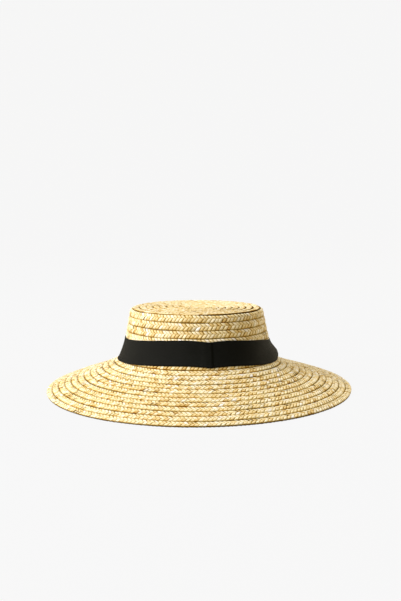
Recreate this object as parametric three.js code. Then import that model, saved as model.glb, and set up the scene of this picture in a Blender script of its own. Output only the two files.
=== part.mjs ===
// A wide-brimmed straw boater hat, resting on its brim.
// The straw is one long plaited braid sewn round and round, each round lapped a little over the
// next, so the wall is a stack of low steps. Every piece is first drawn as a section of the flat
// sewn disc, then blocked: bent down over the hat's line, which runs from the middle of the top,
// over the rim, down the side and out along the brim.
// Millimetres and degrees, +Z up, +X along the hat's length, the origin on the surface under the
// middle of the brim.
import * as THREE from "three";

// The hat's form.
const TOP_HALF_WIDTH = 69; // middle of the top to where the rim begins to bend, across the hat
const OVAL = 14; // how much further every round reaches along the hat than across it
const RIM_RADIUS = 4.5;
const SIDE_LEAN = 11; // the side's lean out from upright
const CROWN_HEIGHT = 63.5; // flat of the top down to where the brim breaks out
const FLARE_LENGTH = 25; // foot of the side, curving out towards the brim
const FLARE_LEAN = 28; // lean out from upright at the foot of the flare
const BREAK_RADIUS = 10; // bend between the side and the brim
const BRIM_WIDTH = 97; // from the bend to the edge, along the slope
const BRIM_SLOPE = 25.5; // the brim's fall from level, next to the bend
const BRIM_SLOPE_MIDWAY = 17.5; // halfway out
const BRIM_SLOPE_EDGE = 22.5; // at the edge
const CROWN_TIP = 0.9; // the whole crown is tipped this much, and the brim takes it up
const CROWN_TIP_ANGLE = 107; // the way that it is tipped, from +X towards +Y

// The braid.
const BRAID_PITCH = 8.9; // the width that shows of each round, near enough: whole rounds are fitted
const BRAID_RISE = 1.2; // how far a round's back stands above the foot of its own upper edge
const WALL = 1.9; // the hat's line down to the inside, at a round's upper edge
const INSIDE_STEP = 0.8; // the step of each round on the inside
const LAP = 4; // how far one piece's edge lies over the next
const LAP_LIP = 0.5; // underside of the lapping edge, below the hat's line
const CLEARANCE = 0.3; // between any two pieces
const RIM_LAP_ANGLE = 20; // how far round the rim the top's last round reaches
const EDGE_UNDER = -1.5; // the brim's outer edge is folded under: its lower corner, from the hat's line
const RESTING_WIDTH = 1.6; // of the level cut under the edge, along the slope

// The ribbon.
const RIBBON_WIDTH = 31.5;
const RIBBON_THICK = 0.9;
const RIBBON_FOOT = 4; // its lower edge reaches this far past the start of the bend, where it is lowest
const RIBBON_LIFT = 8.2; // how much higher it rides on two opposite sides
const RIBBON_LIFT_ANGLE = -62; // one of those sides, from +X towards +Y
const RIBBON_EASE = 0.6; // how far it bridges the hollow of the flare
const PUCKER = 4.4; // how far it stands off more, on one side, above a fold near its lower edge
const PUCKER_DRAW = 2.8; // how far the pucker draws the upper edge down
const PUCKER_ANGLE = 30;
const PUCKER_REACH = 40; // half of the turn that the pucker takes
const SEAM_ANGLE = -54; // where the ribbon's ends are joined
const SEAM_DIP = 2.6; // its edges run down to the seam from both sides
const SEAM_REACH = 18;

const TOO_NEAR = 0.08; // of a round's width: a bend closer than this to a point adds none
const STRAW_SEGMENTS = 36;
const RIBBON_SEGMENTS = 60;

const STRAW = { color: 0xdcb878, roughness: 0.55, metalness: 0 };
const GROSGRAIN = { color: 0x1a1a1c, roughness: 0.85, metalness: 0 };

const rad = THREE.MathUtils.degToRad;

// The outer face of one round, as shares of its own width and of its rise.
const ROUND_OUTSIDE = [
  { along: 0, rise: 0 },
  { along: 0.35, rise: 1 },
  { along: 1, rise: 0.75 },
];
// The inner face, as shares of its width and of the inside step.
const ROUND_INSIDE = [
  { along: 0, sink: 1 },
  { along: 1, sink: 0 },
];
// The ribbon across its width: how much of the ease and of the pucker it has there.
const RIBBON_ACROSS = [
  { across: 0, ease: 0, pucker: 0 },
  { across: 0.25, ease: 0.6, pucker: 0.25 },
  { across: 0.45, ease: 0.9, pucker: 0.65 },
  { across: 0.65, ease: 1, pucker: 1 },
  { across: 0.85, ease: 0.7, pucker: 0.8 },
  { across: 1, ease: 0.4, pucker: 0 },
];

// The hat's line as stretches that are straight or turn evenly. Turns are in degrees, down from level.
const flareMiddle = rad((SIDE_LEAN + FLARE_LEAN) / 2);
const rimFall = RIM_RADIUS * (1 - Math.sin(rad(SIDE_LEAN)));
const flareFall = FLARE_LENGTH * Math.cos(flareMiddle);
const sideFall = CROWN_HEIGHT - rimFall - flareFall;
const STRETCHES = [
  { name: "top", length: TOP_HALF_WIDTH, turn: 0, steps: 1 },
  { name: "rim", length: RIM_RADIUS * rad(90 - SIDE_LEAN), turn: 90 - SIDE_LEAN, steps: 4 },
  { name: "side", length: sideFall / Math.cos(rad(SIDE_LEAN)), turn: 0, steps: 1 },
  { name: "flare", length: FLARE_LENGTH, turn: SIDE_LEAN - FLARE_LEAN, steps: 1 },
  {
    name: "bend",
    length: BREAK_RADIUS * rad(90 - FLARE_LEAN - BRIM_SLOPE),
    turn: FLARE_LEAN + BRIM_SLOPE - 90,
    steps: 2,
  },
  { name: "inner brim", length: BRIM_WIDTH / 2, turn: BRIM_SLOPE_MIDWAY - BRIM_SLOPE, steps: 1 },
  { name: "outer brim", length: BRIM_WIDTH / 2, turn: BRIM_SLOPE_EDGE - BRIM_SLOPE_MIDWAY, steps: 1 },
];

// Each stretch with the place and heading that it starts from, in the plane of half-width and height.
const line = [];
{
  let start = 0;
  let heading = 0;
  const at = new THREE.Vector2(0, 0);
  for (const stretch of STRETCHES) {
    line.push({ ...stretch, start, heading, out: at.x, up: at.y });
    const end = alongStretch(line.at(-1), stretch.length);
    at.set(end.out, end.up);
    heading = end.heading;
    start += stretch.length;
  }
}
const startOf = (name) => line.find((stretch) => stretch.name === name).start;

function alongStretch(stretch, distance) {
  const turn = rad(stretch.turn) * (distance / stretch.length);
  const heading = stretch.heading + turn;
  if (Math.abs(turn) < 1e-9) {
    return {
      out: stretch.out + distance * Math.cos(heading),
      up: stretch.up - distance * Math.sin(heading),
      heading,
    };
  }
  const radius = distance / turn;
  return {
    out: stretch.out + radius * (Math.sin(heading) - Math.sin(stretch.heading)),
    up: stretch.up - radius * (Math.cos(stretch.heading) - Math.cos(heading)),
    heading,
  };
}

// A point of the hat's line by its distance from the middle of the top.
function onLine(distance) {
  const stretch = line.findLast((one) => one.start <= distance) ?? line[0];
  return alongStretch(stretch, distance - stretch.start);
}

// Where the pieces part, and the rounds that fit between.
const topEdge = TOP_HALF_WIDTH + RIM_RADIUS * rad(RIM_LAP_ANGLE);
const brimSeam = startOf("bend");
const brimEdge = startOf("inner brim") + BRIM_WIDTH;

// The brim rests on the lower corner of its edge, cut level there so that it has a face to rest on.
const slope = rad(BRIM_SLOPE_EDGE);
const restingEnd = onLine(brimEdge);
const restingHeight = restingEnd.up + EDGE_UNDER * Math.cos(slope);

// The crown tips about the level axis that is a quarter turn on from the way it is tipped.
const TIP_AXIS = new THREE.Vector3(-Math.sin(rad(CROWN_TIP_ANGLE)), Math.cos(rad(CROWN_TIP_ANGLE)), 0);

// Bends a point of the flat disc over the hat's line. offset is its height above the line, with
// the outside positive.
function block(distance, offset, cos, sin) {
  const { out, up, heading } = onLine(Math.max(distance, 0));
  const halfWidth = out + offset * Math.sin(heading);
  const height = up + offset * Math.cos(heading) - restingHeight;
  const upright = new THREE.Vector3((halfWidth + OVAL) * cos, halfWidth * sin, height);
  const taken = THREE.MathUtils.clamp((brimEdge - BRAID_PITCH - distance) / BRIM_WIDTH, 0, 1);
  return upright.applyAxisAngle(TIP_AXIS, rad(CROWN_TIP) * taken);
}

// Turns a closed section of the flat disc into a ring or a disc, and blocks it. The section is a
// list of [distance, offset], or a function that gives one for each angle.
function blockedRing(section, segments) {
  const sectionAt = (angle) => (typeof section === "function" ? section(angle) : section).toReversed();
  const flat = sectionAt(0).map(([distance, offset]) => new THREE.Vector2(distance, offset));
  const geometry = new THREE.LatheGeometry(flat, segments);
  const position = geometry.getAttribute("position");
  for (let i = 0; i <= segments; i++) {
    const turn = i % segments;
    // Mirrored halves use the same numbers, so that the top closes along its middle.
    const mirrored = (2 * Math.PI * Math.min(turn, segments - turn)) / segments;
    const cos = Math.cos(mirrored);
    const sin = Math.sign(segments / 2 - turn) * Math.sin(mirrored);
    sectionAt((360 * turn) / segments).forEach(([distance, offset], j) => {
      const { x, y, z } = block(distance, offset, cos, sin);
      position.setXYZ(i * flat.length + j, x, y, z);
    });
  }
  geometry.deleteAttribute("uv");
  geometry.computeVertexNormals();
  return geometry;
}

// The places where a face between two distances needs a point: the round's own, and those where
// the line bends.
function places(from, to, shares) {
  const own = shares.map((share) => from + share * (to - from));
  const bends = line.flatMap(({ start, length, steps }) =>
    Array.from({ length: steps }, (_, i) => start + (length * i) / steps),
  );
  const near = TOO_NEAR * (to - from);
  const added = bends.filter((s) => s > from && s < to && own.every((o) => Math.abs(o - s) > near));
  return [...own, ...added].sort((a, b) => a - b);
}

function readTable(table, key, value, share) {
  const next = table.findIndex((row) => row[key] >= share - 1e-9);
  if (next <= 0) return table[0][value];
  const [a, b] = [table[next - 1], table[next]];
  return THREE.MathUtils.mapLinear(share, a[key], b[key], a[value], b[value]);
}

// One face of the rounds between two distances, stepped at each round.
function steppedFace(from, to, table, value, offsetOf) {
  const rounds = Math.max(1, Math.round((to - from) / BRAID_PITCH));
  const pitch = (to - from) / rounds;
  const face = [];
  for (let round = 0; round < rounds; round++) {
    const start = from + round * pitch;
    const shares = table.map((row) => row.along);
    for (const s of places(start, start + pitch, shares)) {
      face.push([s, offsetOf(readTable(table, "along", value, (s - start) / pitch))]);
    }
  }
  return face;
}
const outsideFace = (from, to) => steppedFace(from, to, ROUND_OUTSIDE, "rise", (rise) => rise * BRAID_RISE);
const insideFace = (from, to) =>
  steppedFace(from, to, ROUND_INSIDE, "sink", (sink) => INSIDE_STEP - WALL - sink * INSIDE_STEP);

// The top: a disc of rounds whose last one lies over the side's first.
function crownTop() {
  const inner = topEdge - LAP;
  const under = insideFace(0, inner).filter(([s], i, all) => i === all.length - 1 || s !== all[i + 1][0]);
  return [...outsideFace(0, topEdge), [topEdge, -LAP_LIP], [inner, -LAP_LIP], ...under.reverse()];
}

// A lapped piece: its upper edge is tucked under the piece above.
function tuckedUnder(seam) {
  const tucked = -LAP_LIP - CLEARANCE;
  return [
    [seam - LAP + CLEARANCE, tucked],
    [seam, tucked],
    [seam + CLEARANCE, 0],
  ];
}

// The side: a ring from under the top's edge to over the brim's inner edge.
function crownSide() {
  const outside = outsideFace(topEdge, brimSeam).slice(1);
  const inside = insideFace(topEdge, brimSeam - LAP);
  return closed([
    ...tuckedUnder(topEdge),
    ...outside,
    [brimSeam, -LAP_LIP],
    [brimSeam - LAP, -LAP_LIP],
    ...inside.reverse(),
    [topEdge - LAP + CLEARANCE, -LAP_LIP - CLEARANCE - WALL / 2],
  ]);
}

// The brim: a ring from under the side's edge to the outer edge, with its level resting face.
function brim() {
  const outside = outsideFace(brimSeam, brimEdge).slice(1);
  const restStart = brimEdge - RESTING_WIDTH;
  const inside = insideFace(brimSeam, restStart).slice(0, -1);
  const levelWidth = RESTING_WIDTH * Math.cos(slope);
  const levelEnd = [brimEdge - levelWidth * Math.cos(slope), EDGE_UNDER - levelWidth * Math.sin(slope)];
  return closed([
    ...tuckedUnder(brimSeam),
    ...outside,
    [brimEdge, EDGE_UNDER],
    levelEnd,
    ...inside.reverse(),
    [brimSeam - LAP + CLEARANCE, -LAP_LIP - CLEARANCE - WALL / 2],
  ]);
}

function closed(section) {
  return [...section, section[0]];
}

// The ribbon's section at an angle in degrees from +X.
function ribbonSection(angle) {
  const away = (from) => Math.abs(THREE.MathUtils.euclideanModulo(angle - from + 180, 360) - 180);
  const dip = SEAM_DIP * Math.max(0, 1 - away(SEAM_ANGLE) / SEAM_REACH);
  const lifted = RIBBON_LIFT * Math.cos(rad(angle - RIBBON_LIFT_ANGLE)) ** 2;
  const puckered = THREE.MathUtils.smoothstep(PUCKER_REACH - away(PUCKER_ANGLE), 0, PUCKER_REACH);
  const lower = brimSeam + RIBBON_FOOT - lifted + dip;
  const shown = RIBBON_WIDTH - PUCKER_DRAW * puckered;
  const face = (lift) =>
    RIBBON_ACROSS.map((row) => [
      lower - (1 - row.across) * shown,
      BRAID_RISE + CLEARANCE + RIBBON_EASE * row.ease + PUCKER * puckered * row.pucker + lift,
    ]);
  return closed([...face(RIBBON_THICK), ...face(0).reverse()]);
}

function piece(name, section, segments, finish) {
  const mesh = new THREE.Mesh(blockedRing(section, segments), new THREE.MeshStandardMaterial(finish));
  mesh.name = name;
  return mesh;
}

const hat = new THREE.Group();
hat.add(
  piece("crown_top", crownTop(), STRAW_SEGMENTS, STRAW),
  piece("crown_side", crownSide(), STRAW_SEGMENTS, STRAW),
  piece("brim", brim(), STRAW_SEGMENTS, STRAW),
  piece("ribbon_band", ribbonSection, RIBBON_SEGMENTS, GROSGRAIN),
);

export default hat;
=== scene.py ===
"""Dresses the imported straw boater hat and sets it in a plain, pale studio.

Every round of braid gets its plaited straws, and the ribbon gets its ribs. The braid's shapes are worked out
in millimetres on the flat sewn disc, then bent over the hat's line as in the CAD.
"""

import math

import bpy
import numpy as np
from mathutils import Matrix, Vector


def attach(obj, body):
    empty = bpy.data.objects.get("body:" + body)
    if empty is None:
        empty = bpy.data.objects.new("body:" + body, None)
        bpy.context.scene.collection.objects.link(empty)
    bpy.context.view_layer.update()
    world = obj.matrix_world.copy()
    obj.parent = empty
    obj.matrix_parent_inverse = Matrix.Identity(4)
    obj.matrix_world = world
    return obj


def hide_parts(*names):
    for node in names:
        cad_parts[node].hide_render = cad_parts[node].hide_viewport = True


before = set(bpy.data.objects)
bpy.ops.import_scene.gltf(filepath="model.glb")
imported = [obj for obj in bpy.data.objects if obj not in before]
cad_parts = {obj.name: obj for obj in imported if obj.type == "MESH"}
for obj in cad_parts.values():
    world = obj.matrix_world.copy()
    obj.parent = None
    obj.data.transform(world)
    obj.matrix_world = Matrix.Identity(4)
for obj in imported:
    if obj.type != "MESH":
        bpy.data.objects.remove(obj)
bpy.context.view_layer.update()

MM = 0.001

# The hat's form, with the CAD's names and values, in millimetres and degrees.
TOP_HALF_WIDTH = 69
OVAL = 14
RIM_RADIUS = 4.5
SIDE_LEAN = 11
CROWN_HEIGHT = 63.5
FLARE_LENGTH = 25
FLARE_LEAN = 28
BREAK_RADIUS = 10
BRIM_WIDTH = 97
BRIM_SLOPE = 25.5
BRIM_SLOPE_MIDWAY = 17.5
BRIM_SLOPE_EDGE = 22.5
CROWN_TIP = 0.9
CROWN_TIP_ANGLE = 107
BRAID_PITCH = 8.9
RIM_LAP_ANGLE = 20
RIBBON_WIDTH = 31.5
RIBBON_FOOT = 4
RIBBON_LIFT = 8.2
RIBBON_LIFT_ANGLE = -62
RIBBON_EASE = 0.6
PUCKER = 4.4
PUCKER_DRAW = 2.8
PUCKER_ANGLE = 30
PUCKER_REACH = 40
SEAM_ANGLE = -54
SEAM_DIP = 2.6
SEAM_REACH = 18
EDGE_UNDER = -1.5

LINE_STEP = 0.1  # between the points of the hat's line
ROUND_POINTS = 721  # by which the length round the hat is measured
FLOOR_SPACE = 0.02  # the least height of anything over the floor

# A round of braid across its width. A place there is t, 0 at its tucked edge and 1 at its free edge, and more
# round the fold. Heights are over the hat's line.
PLAIT_BASE = -0.6  # height of the foot of the half wave that a round's face follows
PLAIT_CROWN = 1.5  # height of that wave over its foot
CROWN_WAVE = (0.2, 0.5)  # where on the wave the face starts, and how much of the wave it takes
PLAIT_TUCK = 1.5  # how far it sinks where it is tucked under the round above
INSIDE_TUCK = 0.8  # the same on the inner face
TUCK_WIDTH = 0.26  # the share of a round's width that sinks
FOLD_TURN = 600  # degrees of turn round the free edge, for each unit of t past 1
PLAIT_FOLD = 0.9  # radius of the rounded free edge
PLAIT_FOLD_END = 1.2  # t at which its straws end
EDGE_FOLD = 1.15  # the same two where the brim's outer edge is folded under
EDGE_FOLD_END = 1.29
INSIDE_BASE = -0.75  # height of the foot of the inner face's wave, which hangs down
WANDER = 0.35  # about how far a round strays from its line
WANDER_WAVES = [2, 3, 5, 9]  # and in how many waves round the hat

# The plait: each round shows two columns of slanted straws, which meet along its middle.
STRAW_STEP = 4.7  # from one straw to the next, along the round
STRAW_SLANT = 4.4  # how far a straw runs along the round as it crosses its column
STRAW_FULL = 1.09  # width of a straw as a share of its step
STRAW_LIFT = 0.2  # arch of each straw over the ones it crosses
STRAW_DIVE = 0.65  # how far its ends go under
STRAW_ROUND = 0.6  # crown of a straw across its own width
TUCKED_ROUND = 0.35  # the share of that crown left where the straw is tucked
FEWEST_STRAWS = 12  # in a column of the smallest round
STRAW_POINTS = 5  # points across each straw
STRAW_VALUES = ("tone", "along", "across", "depth", "arch")  # what its points tell its material; depth is t, plus an early painted edge shade on the top
BACK_COLUMN = (0.02, 0.6)  # t at both ends of the back column's straws
BACK_STATIONS = [0, 0.13, 0.3, 0.62, 1]  # points along one of them, as shares of it
FRONT_COLUMN = 0.5  # t at the start of the front column's straws, which turn under at their end
FRONT_STATIONS = [0, 0.25, 0.52, 0.72, 0.82, 0.92, 1]

# How much single straws differ, as standard deviations.
STRAW_TWIST = 0.25  # in how far their two sides stand askew
SLANT_VARIES = 0.12  # in slant, as a share of it
PLACE_VARIES = 0.05  # in place, as a share of their step
WIDTH_VARIES = 0.05  # in width, as a share of their step
HEIGHT_VARIES = 0.05  # in height

# The tone of a straw: 0 is middling and 1 is much lighter.
STRAW_TONE = 0.58  # standard deviation from straw to straw
STRANDS = 7  # strands that take turns in the plait
STRAND_SHIFT = 3  # strands from the back column to the front column, where they meet
STRAND_TONE = 0.4  # standard deviation from strand to strand
PATCH_TONE = 0.22  # about how much whole stretches of a round differ
PATCH_WAVES = (3, 40)  # the fewest waves of it round the hat, and one more than the most
PATCH_WAVE_COUNT = 7
FIBRE_SHIFT = 7  # between the fibre patterns of two straws, in lengths of a straw

# The crown's top is pressed flatter, its painted shade differs and its tone is lower. "relief" is the share
# of its straws' relief that is left, "flank" how far out their flanks reach into the painted shade, "ends"
# the least arch that their ends show to the painted shade of the ends, "edge" how much earlier the painted
# shade of a round's free edge sets in, in t, and "dull" how much lower their tone is.
FREE = {"relief": 1, "flank": 1, "ends": 0, "edge": 0, "dull": 0}
PRESSED_AND_SHADED = {"relief": 0.45, "flank": 0.72, "ends": 0.3, "edge": 0.17, "dull": 0.45}
EDGE_SHADE_START = 0.7  # t from which that edge's shade grows
EDGE_SHADE_WIDTH = 0.25
SHADED_SIDE_ANGLE = 50  # the side of the top where the most shade is painted on the free edges of its rounds
SHADED_SIDE_MEAN = 0.6  # the mean share of that painted shade round the top

# The shells of inner straw behind the plait, darkened as painted shade.
BACKING_TOP = -1.1  # they reach at least this high, over the hat's line
BACKING_FOOT = -1.2  # and at least this low
BACKING_INSET = 0.5  # otherwise they stay this far behind the faces of the plait
BACKING_SHARES = (0.02, 0.25, 0.5, 0.75, 0.98)  # their points across a round
BACKING_SEGMENTS = 180

# The ribbon.
RIBBON_THICK = 0.5
RIBBON_STAND = 1.5  # inner face over the hat's line, clear of the plait
RIBBON_SEGMENTS = 300
RIBBON_FACE_POINTS = 17  # points across each of its two faces
RIBBON_RADIUS = 95  # turns an angle into a length along it
SEAM_LAP = 3.5  # degrees by which one end lies over the other
LAP_FROM = 354  # degrees from its start at which it begins to rise over that
LAP_RISE = 5  # degrees in which it does so
LAP_SPACE = 0.25  # between the two ends
SEAM_DIP_POWER = 1.5  # how sharply its foot dips at the seam
WOVEN_EDGE = 0.15  # height of the thicker woven edge
WOVEN_EDGE_WIDTH = 0.004  # grows with the square of that edge's width
ACROSS = [0, 0.25, 0.45, 0.65, 0.85, 1]  # shares of its width, from its upper edge to its foot
EASE = [0, 0.6, 0.9, 1, 0.7, 0.4]  # how much of its ease it has there
PUCKERED = [0, 0.25, 0.65, 1, 0.8, 0]  # and of its pucker
RIB_PITCH = 0.95
THREAD_PITCH = 0.4

# The camera, fitted to the photograph: its place about the hat, and its lens and sensor along the long side.
CAMERA_PLACE = (514.4, -877.7, 247.1)
CAMERA_AZIMUTH = 30
CAMERA_PITCH = 7.54
CAMERA_ROLL = 1.31
CAMERA_LENS = 47.95
CAMERA_SENSOR = 36
CAMERA_NEAREST = 0.05  # what it shows, in metres
CAMERA_FARTHEST = 50

# The studio, in metres. A lamp's place is to the right, back and up from the hat as the camera sees it.
LAMPS = {
    "key": {"place": (-1.75, -0.7, 1.35), "size": 0.9, "power": 44, "tint": (0.94, 0.94, 1)},
    "low": {"place": (-2, -0.2, 0.5), "size": 1.2, "power": 22, "tint": (1, 0.85, 0.88)},
    "top": {"place": (-0.2, 0.3, 2.2), "size": 1.6, "power": 24, "tint": (0.74, 0.79, 1)},
    "rim": {"place": (1.8, 1.3, 0.8), "size": 1.2, "power": 12, "tint": (1, 0.84, 0.6)},
}
LAMP_AIM = (0, 0, 0.06)
STAGE_RADII = [0.01, 1.5, 2.5, 3.2, 3.6, 3.9, 4.0, 4.0]
STAGE_HEIGHTS = [0, 0, 0, 0.1, 0.35, 0.8, 1.6, 6]
STAGE_SEGMENTS = 64
WORLD_COLOUR = (1, 0.86, 0.68, 1)
WORLD_STRENGTH = 0.54


# The hat's line.
def stretches():
    """The hat's line as (length, turn in degrees) for each stretch."""
    flare_middle = math.radians((SIDE_LEAN + FLARE_LEAN) / 2)
    rim_fall = RIM_RADIUS * (1 - math.sin(math.radians(SIDE_LEAN)))
    side_fall = CROWN_HEIGHT - rim_fall - FLARE_LENGTH * math.cos(flare_middle)
    bend = 90 - FLARE_LEAN - BRIM_SLOPE
    return {
        "top": (TOP_HALF_WIDTH, 0),
        "rim": (RIM_RADIUS * math.radians(90 - SIDE_LEAN), 90 - SIDE_LEAN),
        "side": (side_fall / math.cos(math.radians(SIDE_LEAN)), 0),
        "flare": (FLARE_LENGTH, SIDE_LEAN - FLARE_LEAN),
        "bend": (BREAK_RADIUS * math.radians(bend), -bend),
        "inner brim": (BRIM_WIDTH / 2, BRIM_SLOPE_MIDWAY - BRIM_SLOPE),
        "outer brim": (BRIM_WIDTH / 2, BRIM_SLOPE_EDGE - BRIM_SLOPE_MIDWAY),
    }


def trace_line():
    """The hat's line as fine points: distance, half-width, height and heading.

    Then the distance at which each stretch starts, and at which the last one ends.
    """
    lengths, starts, heading, total = [], {}, [], 0.0
    for name, (length, turn) in stretches().items():
        starts[name] = total
        total += length
        lengths.append(total)
        heading.append((heading[-1] if heading else 0) + math.radians(turn))
    distance = np.arange(0, total + LINE_STEP, LINE_STEP)
    angle = np.interp(distance, [0, *lengths], [0, *heading])
    middle = (angle[1:] + angle[:-1]) / 2
    out = np.concatenate([[0], np.cumsum(np.diff(distance) * np.cos(middle))])
    up = np.concatenate([[0], -np.cumsum(np.diff(distance) * np.sin(middle))])
    return distance, out, up, angle, starts, total


LINE, OUT, UP, HEADING, START, BRIM_EDGE = trace_line()
TOP_EDGE = TOP_HALF_WIDTH + RIM_RADIUS * math.radians(RIM_LAP_ANGLE)
BRIM_SEAM = START["bend"]
REST_HEIGHT = np.interp(BRIM_EDGE, LINE, UP) + EDGE_UNDER * math.cos(math.radians(BRIM_SLOPE_EDGE))
TIP_AXIS = np.array([-math.sin(math.radians(CROWN_TIP_ANGLE)), math.cos(math.radians(CROWN_TIP_ANGLE)), 0])


def block(distance, offset, angle):
    """Bends points of the flat disc over the hat's line, as the CAD does. Arrays in, metres out."""
    distance = np.maximum(distance, 0)
    heading = np.interp(distance, LINE, HEADING)
    half_width = np.interp(distance, LINE, OUT) + offset * np.sin(heading)
    height = np.interp(distance, LINE, UP) + offset * np.cos(heading) - REST_HEIGHT
    half_width = np.where(distance > 0, half_width, 0)
    place = np.stack([(half_width + OVAL) * np.cos(angle), half_width * np.sin(angle), height], -1)
    taken = np.clip((BRIM_EDGE - BRAID_PITCH - distance) / BRIM_WIDTH, 0, 1)
    tip = (math.radians(CROWN_TIP) * taken)[..., None]
    along = (place @ TIP_AXIS)[..., None] * TIP_AXIS
    tipped = place * np.cos(tip) + np.cross(TIP_AXIS, place) * np.sin(tip) + along * (1 - np.cos(tip))
    tipped[..., 2] = np.maximum(tipped[..., 2], FLOOR_SPACE)
    return tipped * MM


def smoothstep(x):
    x = np.clip(x, 0, 1)
    return x * x * (3 - 2 * x)


def ripple(where, waves, size, seed):
    """A smooth closed ripple: where is a share of the way round."""
    phases = np.random.default_rng(seed).uniform(0, 2 * math.pi, len(waves))
    total = sum(np.sin(2 * math.pi * n * where + p) for n, p in zip(waves, phases))
    return size * total / math.sqrt(len(waves))


def rounds_between(start, end):
    """(upper edge, width) of each round of braid between two distances."""
    count = max(1, round((end - start) / BRAID_PITCH))
    width = (end - start) / count
    return [(start + i * width, width) for i in range(count)]


def angles_round(distance):
    """A function from a share of the way round, by length, to its angle, and the length of the whole way."""
    angle = np.linspace(0, 2 * math.pi, ROUND_POINTS)
    place = block(np.full(angle.shape, float(distance)), np.zeros(angle.shape), angle)
    arc = np.concatenate([[0], np.cumsum(np.linalg.norm(np.diff(place, axis=0), axis=1))])

    def angle_at(share):
        return np.interp(share % 1, arc / arc[-1], angle) + 2 * math.pi * np.floor(share)

    return angle_at, arc[-1] / MM


# Meshes.
def mesh_piece(name, points, faces, finish, values=None):
    """A smooth mesh from arrays, riding on the hat. values are float attributes of its points."""
    mesh = bpy.data.meshes.new(name)
    mesh.vertices.add(len(points))
    mesh.vertices.foreach_set("co", points.reshape(-1).astype(np.float32))
    mesh.loops.add(faces.size)
    mesh.loops.foreach_set("vertex_index", faces.reshape(-1).astype(np.int32))
    mesh.polygons.add(len(faces))
    mesh.polygons.foreach_set("loop_start", np.arange(0, faces.size, faces.shape[1], dtype=np.int32))
    mesh.polygons.foreach_set("use_smooth", np.ones(len(faces), bool))
    for key, data in (values or {}).items():
        layer = mesh.attributes.new(key, "FLOAT", "POINT")
        layer.data.foreach_set("value", data.reshape(-1).astype(np.float32))
    mesh.update(calc_edges=True)
    mesh.validate()
    mesh.materials.append(finish)
    piece = bpy.data.objects.new(name, mesh)
    bpy.context.scene.collection.objects.link(piece)
    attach(piece, "root")
    return piece


def grid_faces(rows, columns, closed_rows=False, closed_columns=False):
    """Quads of a grid of points, row by row. Where it is closed, its last row or column joins its first."""
    row = np.arange(rows if closed_rows else rows - 1)[:, None]
    column = np.arange(columns if closed_columns else columns - 1)[None, :]
    here, after = row * columns, (row + 1) % rows * columns
    beside = (column + 1) % columns
    return np.stack([here + column, here + beside, after + beside, after + column], -1).reshape(-1, 4)


# The braid.
def plait_section(t, upper, width, inside, fold=PLAIT_FOLD):
    """(distance, offset) at t across a round."""
    flat = np.minimum(t, 1)
    turn = np.maximum(t - 1, 0) * math.radians(FOLD_TURN)
    height = PLAIT_BASE + PLAIT_CROWN * np.sin(math.pi * (CROWN_WAVE[0] + CROWN_WAVE[1] * flat))
    height = height - (INSIDE_TUCK if inside else PLAIT_TUCK) * (1 - smoothstep(flat / TUCK_WIDTH))
    height = height - fold * (1 - np.cos(turn))
    across = flat * width + fold * np.sin(turn)
    if inside:
        return upper + width - across, INSIDE_BASE - height + PLAIT_BASE
    return upper + across, height


def straw_arch(along, low, high):
    """How high a straw stands over the others, from 0 where it goes under or folds to 1 midway."""
    shown = min(1, (1 - low) / (high - low))
    return np.sin(math.pi * np.clip(along / shown, 0, 1))


def early_shade(t, angle, relief_and_shade):
    """How much earlier the painted shade of a round's free edge sets in, most on the top's shaded side."""
    shaded_side = SHADED_SIDE_MEAN + (1 - SHADED_SIDE_MEAN) * np.cos(angle - math.radians(SHADED_SIDE_ANGLE))
    return relief_and_shade["edge"] * shaded_side * smoothstep((t - EDGE_SHADE_START) / EDGE_SHADE_WIDTH)


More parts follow.
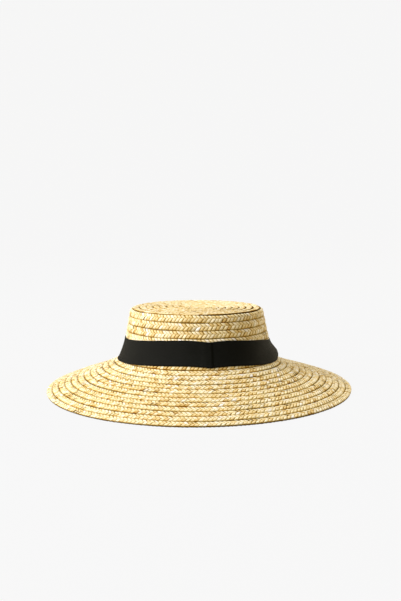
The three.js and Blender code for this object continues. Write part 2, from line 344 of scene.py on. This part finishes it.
def straws(upper, width, inside, seed, edge, relief_and_shade):
    """The straws of one round: points and attributes, column by column, and how many straws a column has."""
    local = np.random.default_rng(seed)
    angle_at, length = angles_round(upper + width / 2)
    count = max(FEWEST_STRAWS, round(length / STRAW_STEP))
    step = 1 / count
    patch_waves = local.integers(*PATCH_WAVES, PATCH_WAVE_COUNT)
    patches = ripple((np.arange(count) + 0.5) / count, patch_waves, PATCH_TONE, seed + 1)
    strands = local.normal(0, STRAND_TONE, STRANDS)
    fold, last = (EDGE_FOLD, EDGE_FOLD_END) if edge else (PLAIT_FOLD, PLAIT_FOLD_END)
    index = np.arange(count)[:, None, None]
    across = np.linspace(-1, 1, STRAW_POINTS)[None, None, :]
    parts, values = [], {key: [] for key in STRAW_VALUES}

    def jitter(size):
        return local.normal(0, size, (count, 1, 1))

    columns = [(*BACK_COLUMN, BACK_STATIONS), (FRONT_COLUMN, last, FRONT_STATIONS)]
    for column, (low, high, stations) in enumerate(columns):
        along = np.array(stations)[None, :, None]
        lean = 1 if (column == 0) != inside else -1
        slant = STRAW_SLANT / length * (1 + jitter(SLANT_VARIES))
        share = (index + 0.5 * column + jitter(PLACE_VARIES)) * step + lean * slant * (along - 0.5)
        share = share + across * step * 0.5 * (STRAW_FULL + jitter(WIDTH_VARIES))
        t = np.broadcast_to(low + (high - low) * along, share.shape)
        distance, offset = plait_section(t, upper, width, inside, fold)
        arch = straw_arch(along, low, high)
        dives = along < 0.5 if column else 1
        crown = STRAW_ROUND * (TUCKED_ROUND + (1 - TUCKED_ROUND) * smoothstep(t / TUCK_WIDTH))
        relief = crown * (1 - across**2) + jitter(HEIGHT_VARIES) + across * jitter(STRAW_TWIST)
        rise = STRAW_LIFT * arch - STRAW_DIVE * (1 - arch) * dives + relief_and_shade["relief"] * relief
        offset = offset + rise * (-1 if inside else 1)
        distance = distance + ripple(share, WANDER_WAVES, WANDER, seed + 2)
        angle = angle_at(share)
        parts.append(block(distance, offset, angle).reshape(-1, 3))

        strand = (index + STRAND_SHIFT * column) % STRANDS
        tone = patches[:, None, None] + strands[strand] + jitter(STRAW_TONE)
        made = {
            "tone": tone - relief_and_shade["dull"],
            "along": along + index * FIBRE_SHIFT,
            "across": across * relief_and_shade["flank"],
            "depth": t + early_shade(t, angle, relief_and_shade),
            "arch": np.maximum(arch, relief_and_shade["ends"]),
        }
        for key, array in made.items():
            values[key].append(np.broadcast_to(array, share.shape).reshape(-1))
    return parts, values, count


def straw_faces(count, stations, start):
    """Quads of a column's straws, whose points begin at start."""
    one = grid_faces(stations, STRAW_POINTS)
    first = start + np.arange(count) * stations * STRAW_POINTS
    return (first[:, None, None] + one[None]).reshape(-1, 4)


def braid_piece(name, rounds, inside, finish, node, seed):
    """The plaited face of several rounds as one mesh, which stands for its CAD node."""
    points, faces, values, start = [], [], {}, 0
    relief_and_shade = PRESSED_AND_SHADED if node == "crown_top" else FREE
    for i, (upper, width) in enumerate(rounds):
        edge = not inside and math.isclose(upper + width, BRIM_EDGE)
        parts, made, count = straws(upper, width, inside, seed + 10 * i, edge, relief_and_shade)
        for stations in (len(BACK_STATIONS), len(FRONT_STATIONS)):
            quads = straw_faces(count, stations, start)
            faces.append(quads if inside else quads[:, ::-1])
            start += count * stations * STRAW_POINTS
        points += parts
        for key, arrays in made.items():
            values.setdefault(key, []).extend(arrays)
    values = {key: np.concatenate(arrays) for key, arrays in values.items()}
    piece = mesh_piece(name, np.concatenate(points), np.concatenate(faces), finish, values)
    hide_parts(node)


def backing(name, start, end, finish, node):
    """The braid's inner layers between two distances, in painted shade, as one closed shell behind the
    straws.
    """
    outer, inner = [], []
    for upper, width in rounds_between(start, end):
        for share in BACKING_SHARES:
            distance, offset = plait_section(share, upper, width, False)
            outer.append((distance, max(offset - BACKING_INSET, BACKING_TOP)))
            distance, offset = plait_section(1 - share, upper, width, True)
            inner.append((distance, min(offset + BACKING_INSET, BACKING_FOOT)))
    section = np.array(outer + inner[::-1])
    angle = np.linspace(0, 2 * math.pi, BACKING_SEGMENTS, endpoint=False)[:, None]
    points = block(*np.broadcast_arrays(section[:, 0], section[:, 1], angle))
    faces = grid_faces(BACKING_SEGMENTS, len(section), closed_rows=True, closed_columns=True)
    piece = mesh_piece(name, points.reshape(-1, 3), faces[:, ::-1], finish)
    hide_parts(node)


# The ribbon.
def away(angle, from_angle):
    """Degrees between two angles."""
    return np.abs((angle - from_angle + 180) % 360 - 180)


def ribbon(finish):
    """A straight ribbon round the crown, lapped at the seam and standing off in a pucker on one side."""
    start = SEAM_ANGLE - SEAM_LAP / 2
    angle = np.linspace(start, start + 360 + SEAM_LAP, RIBBON_SEGMENTS)[:, None]
    lapped = smoothstep((angle - (start + LAP_FROM)) / LAP_RISE)
    width_share = np.linspace(0, 1, RIBBON_FACE_POINTS)
    ring = np.concatenate([width_share, width_share[::-1]])[None, :]
    outer = np.concatenate([np.ones(RIBBON_FACE_POINTS), np.zeros(RIBBON_FACE_POINTS)])[None, :]
    dip = SEAM_DIP * np.maximum(0, 1 - away(angle, SEAM_ANGLE) / SEAM_REACH) ** SEAM_DIP_POWER
    lift = RIBBON_LIFT * np.cos(np.radians(angle - RIBBON_LIFT_ANGLE)) ** 2
    lower = BRIM_SEAM + RIBBON_FOOT + dip - lift
    puckered = smoothstep((PUCKER_REACH - away(angle, PUCKER_ANGLE)) / PUCKER_REACH)
    shown = RIBBON_WIDTH - PUCKER_DRAW * puckered
    stand = RIBBON_EASE * np.interp(ring, ACROSS, EASE)
    stand = stand + PUCKER * puckered * np.interp(ring, ACROSS, PUCKERED)
    stand = stand + RIBBON_STAND + outer * RIBBON_THICK + lapped * (RIBBON_THICK + LAP_SPACE)
    from_middle = (ring - 0.5) * 2
    stand = stand + outer * WOVEN_EDGE * np.exp(-((from_middle**2 - 1) ** 2) / WOVEN_EDGE_WIDTH)
    distance = lower - (1 - ring) * shown
    points = block(*np.broadcast_arrays(distance, stand, np.radians(angle)))

    around = ring.size
    faces = grid_faces(RIBBON_SEGMENTS, around, closed_columns=True)
    cap = np.array([[j, j + 1, around - 2 - j, around - 1 - j] for j in range(RIBBON_FACE_POINTS - 1)])
    faces = np.concatenate([faces, cap[:, ::-1], cap + (RIBBON_SEGMENTS - 1) * around])
    values = {
        "round": np.broadcast_to(np.radians(angle) * RIBBON_RADIUS, distance.shape),
        "across": np.broadcast_to(ring * RIBBON_WIDTH, distance.shape),
    }
    piece = mesh_piece("grosgrain_ribbon", points.reshape(-1, 3), faces, finish, values)
    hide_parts("ribbon_band")


# Materials.
STRAW_COLOURS = [
    (0.0, (0.60, 0.40, 0.11)),
    (0.3, (0.80, 0.63, 0.28)),
    (0.55, (0.89, 0.78, 0.47)),
    (0.8, (0.94, 0.87, 0.64)),
    (1.0, (0.96, 0.93, 0.82)),
]
TONE_MIDDLE = 0.5  # where among those colours a straw of tone 0 is
TONE_REACH = 0.24  # and how far a tone of 1 lies from it
FIBRE_LENGTHWISE = 0.9  # a straw's length on the fibre pattern
FIBRE_CROSSWISE = 2.6  # and its half width
FIBRE_NOISE = {"Scale": 1.6, "Detail": 4}
FIBRE_STREAKS = {"To Min": 0.78, "To Max": 1.14}  # darkest and lightest, as a share of the straw's colour
FIBRE_BUMP = {"Strength": 0.25, "Distance": 0.0001}

# Painted shade in the straw's colour. Each shade has the value at which it starts, the value at which it
# is full, and how deep it is there.
FLANK_SHADE = (0.5, 1.0, 0.85)  # by the place across a straw, 0 in its middle and 1 at its sides
TUCKED_SHADE = (0.2, 0.08, 0.62)  # by t
FREE_SHADE = (0.98, 1.07, 0.62)  # by t
END_SHADE = (0.5, 0.0, 0.35)  # by the arch of a straw
SHADE_GAMMA = 2.5  # by how much a full shade raises the power of the straw's colour, which saturates it
SHADE_DIMS = 0.5  # and the share of its brightness that a full shade takes
FOLD_SHADOW = (1.08, 1.17, 0.93)  # by t, the mix with the painted shadow on the folded edge's underside
FOLD_SHADOW_COLOUR = (0.08, 0.045, 0.015, 1)
SHINE = (0.4, 0.05, 0.18)  # by painted shade, the specular level
STRAW_ROUGHNESS = 0.4

# The inner straw is painted dark, as the shade behind the plait.
INNER_COLOURS = [(0.3, (0.20, 0.12, 0.03)), (0.7, (0.42, 0.27, 0.09))]
INNER_GRAIN = {"Scale": 900}
INNER_ROUGHNESS = 0.8

RIBBON_COLOURS = [(0.3, (0.001, 0.001, 0.0008)), (0.75, (0.0034, 0.0034, 0.0028))]
RIBBON_WEAR = {"Scale": 60, "Detail": 5}
RIBBON_BUMP = {"Strength": 0.5, "Distance": 0.00015}
RIB_TOP_HIGHLIGHT = 0.12  # how much lighter the top of a rib is painted, a painted highlight
THREAD_HEIGHT = 0.3  # of a thread, as a share of a rib's
RIBBON_FINISH = {
    "Roughness": 0.6,
    "Specular IOR Level": 0.09,
    "Specular Tint": (0.9, 1, 0.85, 1),
    "Sheen Weight": 0.05,
    "Sheen Tint": (0.9, 1, 0.85, 1),
    "Sheen Roughness": 0.4,
}
STAGE_FINISH = {
    "Base Color": (0.015, 0.015, 0.015, 1),
    "Roughness": 1,
    "Specular IOR Level": 0,
    "Emission Color": (1, 1, 1, 1),
    "Emission Strength": 0.914,
}


def new_material(name):
    """A new material, its node tree and its shader."""
    material = bpy.data.materials.new(name)
    material.use_nodes = True
    tree = material.node_tree
    return material, tree, tree.nodes["Principled BSDF"]


def set_inputs(tree, node, inputs):
    """Gives each input of a node its uniform value, or links it to another node's output."""
    for key, value in inputs.items():
        if isinstance(value, bpy.types.NodeSocket):
            tree.links.new(value, node.inputs[key])
        else:
            node.inputs[key].default_value = value


def add_node(tree, kind, inputs, **settings):
    """A new node with its inputs, and with its own options set."""
    node = tree.nodes.new(kind)
    for key, value in settings.items():
        setattr(node, key, value)
    set_inputs(tree, node, inputs)
    return node


def attribute(tree, name):
    return add_node(tree, "ShaderNodeAttribute", {}, attribute_name=name).outputs["Fac"]


def calculate(tree, operation, *values):
    return add_node(tree, "ShaderNodeMath", dict(enumerate(values)), operation=operation).outputs[0]


def scaled(tree, colour, factor):
    return add_node(tree, "ShaderNodeVectorMath", {0: colour, "Scale": factor}, operation="SCALE").outputs[0]


def ramp(tree, factor, stops):
    """Colours between stops of (place, colour)."""
    node = add_node(tree, "ShaderNodeValToRGB", {0: factor})
    elements = node.color_ramp.elements
    for element, (position, colour) in zip(elements, (stops[0], stops[-1])):
        element.position = position
        element.color = (*colour, 1)
    for position, colour in stops[1:-1]:
        elements.new(position).color = (*colour, 1)
    return node.outputs[0]


def fade(tree, value, limits):
    """0 where value is at the first limit, rising smoothly to most where it is at the second."""
    start, end, most = limits
    inputs = {"Value": value, "From Min": start, "From Max": end, "To Min": 0, "To Max": most}
    return add_node(tree, "ShaderNodeMapRange", inputs, interpolation_type="SMOOTHSTEP").outputs[0]


def straw_tint(tree, tone, fibre):
    """The colour of a straw by its tone, streaked along its fibres."""
    level = calculate(tree, "MULTIPLY_ADD", tone, TONE_REACH, TONE_MIDDLE)
    colour = ramp(tree, level, STRAW_COLOURS)
    streak = add_node(tree, "ShaderNodeMapRange", {"Value": fibre, **FIBRE_STREAKS}).outputs[0]
    return scaled(tree, colour, streak)


def straw_shade(tree, across, depth, arch):
    """How deep the painted shade is, on a straw's flanks and ends, and at a round's tucked and free edges."""
    shade = fade(tree, calculate(tree, "ABSOLUTE", across), FLANK_SHADE)
    for value, limits in ((depth, TUCKED_SHADE), (depth, FREE_SHADE), (arch, END_SHADE)):
        shade = calculate(tree, "MAXIMUM", shade, fade(tree, value, limits))
    return shade


def straw_material():
    """Glossy split straw: a tone for each straw, fibres along it and painted shade that deepens its colour.
    """
    material, tree, shader = new_material("plaited_straw")
    tone, along, across, depth, arch = (attribute(tree, key) for key in STRAW_VALUES)
    lengthwise = calculate(tree, "MULTIPLY", along, FIBRE_LENGTHWISE)
    crosswise = calculate(tree, "MULTIPLY", across, FIBRE_CROSSWISE)
    place = add_node(tree, "ShaderNodeCombineXYZ", {0: lengthwise, 1: crosswise}).outputs[0]
    fibre = add_node(tree, "ShaderNodeTexNoise", {"Vector": place, **FIBRE_NOISE}).outputs["Fac"]
    shade = straw_shade(tree, across, depth, arch)
    tint = straw_tint(tree, tone, fibre)
    power = calculate(tree, "MULTIPLY_ADD", shade, SHADE_GAMMA, 1)
    deep = add_node(tree, "ShaderNodeGamma", {"Color": tint, "Gamma": power}).outputs[0]
    dim = scaled(tree, deep, calculate(tree, "MULTIPLY_ADD", shade, -SHADE_DIMS, 1))
    # Where it mixes colours, this node takes its factor and colours in inputs 0, 6 and 7, and gives output 2.
    # A painted shadow darkens the folded undersides of the rounds' free edges.
    mixed = {0: fade(tree, depth, FOLD_SHADOW), 6: dim, 7: FOLD_SHADOW_COLOUR}
    set_inputs(tree, shader, {
        "Base Color": add_node(tree, "ShaderNodeMix", mixed, data_type="RGBA").outputs[2],
        "Roughness": STRAW_ROUGHNESS,
        "Specular IOR Level": fade(tree, shade, SHINE),
        "Normal": add_node(tree, "ShaderNodeBump", {"Height": fibre, **FIBRE_BUMP}).outputs[0],
    })
    return material


def backing_material():
    """The braid's inner layers, straw darkened by painted shade, seen only through the gaps."""
    material, tree, shader = new_material("inner_straw")
    grain = add_node(tree, "ShaderNodeTexNoise", INNER_GRAIN).outputs["Fac"]
    set_inputs(tree, shader, {"Base Color": ramp(tree, grain, INNER_COLOURS), "Roughness": INNER_ROUGHNESS})
    return material


def wave(tree, where, pitch):
    """A wave from -1 to 1 that repeats at each pitch."""
    return calculate(tree, "SINE", calculate(tree, "MULTIPLY", where, 2 * math.pi / pitch))


def ribbon_material():
    """Black grosgrain: fine ribs across the ribbon, and closer threads along each rib."""
    material, tree, shader = new_material("black_grosgrain")
    ribs = wave(tree, attribute(tree, "round"), RIB_PITCH)
    threads = wave(tree, attribute(tree, "across"), THREAD_PITCH)
    height = calculate(tree, "MULTIPLY_ADD", threads, THREAD_HEIGHT, ribs)
    wear = add_node(tree, "ShaderNodeTexNoise", RIBBON_WEAR).outputs["Fac"]
    # Random wear, and a painted highlight on the top of each rib.
    tone = calculate(tree, "MULTIPLY_ADD", ribs, RIB_TOP_HIGHLIGHT, wear)
    set_inputs(tree, shader, {
        "Base Color": ramp(tree, tone, RIBBON_COLOURS),
        "Normal": add_node(tree, "ShaderNodeBump", {"Height": height, **RIBBON_BUMP}).outputs[0],
        **RIBBON_FINISH,
    })
    return material


def stage_material():
    """Evenly glowing, with hardly any shadow."""
    material, tree, shader = new_material("pale_sweep")
    set_inputs(tree, shader, STAGE_FINISH)
    return material


# The studio.
def photo_frame():
    """The camera's right, forward and up directions before it is pitched and rolled."""
    turn = math.radians(CAMERA_AZIMUTH)
    right = Vector((math.cos(turn), math.sin(turn), 0))
    forward = Vector((-math.sin(turn), math.cos(turn), 0))
    return right, forward, Vector((0, 0, 1))


def make_camera():
    right, forward, up = photo_frame()
    pitch, roll = math.radians(CAMERA_PITCH), math.radians(CAMERA_ROLL)
    look = forward * math.cos(pitch) - up * math.sin(pitch)
    above = forward * math.sin(pitch) + up * math.cos(pitch)
    rolled_right = right * math.cos(roll) - above * math.sin(roll)
    rolled_up = right * math.sin(roll) + above * math.cos(roll)
    data = bpy.data.cameras.new("photo_camera")
    data.sensor_fit = "AUTO"
    data.sensor_width = CAMERA_SENSOR
    data.lens = CAMERA_LENS
    data.clip_start = CAMERA_NEAREST
    data.clip_end = CAMERA_FARTHEST
    camera = bpy.data.objects.new("photo_camera", data)
    camera.matrix_world = Matrix((
        (rolled_right.x, rolled_up.x, -look.x, CAMERA_PLACE[0] * MM),
        (rolled_right.y, rolled_up.y, -look.y, CAMERA_PLACE[1] * MM),
        (rolled_right.z, rolled_up.z, -look.z, CAMERA_PLACE[2] * MM),
        (0, 0, 0, 1),
    ))
    bpy.context.scene.collection.objects.link(camera)
    bpy.context.scene.camera = camera


def soft_light(name, place, size, power, tint):
    """A square lamp aimed at the crown."""
    right, forward, up = photo_frame()
    location = right * place[0] + forward * place[1] + up * place[2]
    data = bpy.data.lights.new(name, "AREA")
    data.shape = "SQUARE"
    data.size = size
    data.energy = power
    data.color = tint
    lamp = bpy.data.objects.new(name, data)
    lamp.location = location
    lamp.rotation_mode = "QUATERNION"
    lamp.rotation_quaternion = (Vector(LAMP_AIM) - location).to_track_quat("-Z", "Y")
    bpy.context.scene.collection.objects.link(lamp)


def make_stage():
    """A pale floor that sweeps up all round into a backdrop."""
    turn = np.linspace(0, 2 * math.pi, STAGE_SEGMENTS, endpoint=False)[:, None]
    points = np.stack([np.cos(turn) * STAGE_RADII, np.sin(turn) * STAGE_RADII, 0 * turn + STAGE_HEIGHTS], -1)
    faces = grid_faces(STAGE_SEGMENTS, len(STAGE_RADII), closed_rows=True)
    mesh = bpy.data.meshes.new("studio_sweep")
    mesh.from_pydata([tuple(point) for point in points.reshape(-1, 3)], [], faces.tolist())
    mesh.polygons.foreach_set("use_smooth", np.ones(len(mesh.polygons), bool))
    mesh.materials.append(stage_material())
    stage = bpy.data.objects.new("studio_sweep", mesh)
    stage.visible_diffuse = False
    stage.visible_glossy = False
    bpy.context.scene.collection.objects.link(stage)


def make_world():
    world = bpy.data.worlds.new("studio")
    world.use_nodes = True
    set_inputs(world.node_tree, world.node_tree.nodes["Background"], {
        "Color": WORLD_COLOUR,
        "Strength": WORLD_STRENGTH,
    })
    bpy.context.scene.world = world
    bpy.context.scene.view_settings.view_transform = "Standard"


# The hat, node by node. The brim's braid is in two pieces on each face, inner rounds first.
SPANS = {"crown_top": (0, TOP_EDGE), "crown_side": (TOP_EDGE, BRIM_SEAM), "brim": (BRIM_SEAM, BRIM_EDGE)}
INNER_BRIM_ROUNDS = 7


def make_braid():
    """The inner layers and the plaited faces of the crown's top, its side and the brim."""
    straw, straw_in_painted_shade = straw_material(), backing_material()
    for number, (node, (start, end)) in enumerate(SPANS.items()):
        backing(node + "_inner_layers", start, end, straw_in_painted_shade, node)
        rounds = rounds_between(start, end)
        if node == "brim":
            parts = [rounds[:INNER_BRIM_ROUNDS], rounds[INNER_BRIM_ROUNDS:]]
        else:
            parts = [rounds]
        for side, inside in (("outside", False), ("inside", True)):
            for part, some in enumerate(parts):
                # Far enough apart that every round gets seeds of its own.
                seed = 1000 * number + 500 * inside + 100 * part
                braid_piece(f"{node}_braid_{side}_{part + 1}", some, inside, straw, node, seed)


make_camera()
make_braid()
ribbon(ribbon_material())
make_stage()
for lamp_name, lamp in LAMPS.items():
    soft_light(lamp_name, **lamp)
make_world()
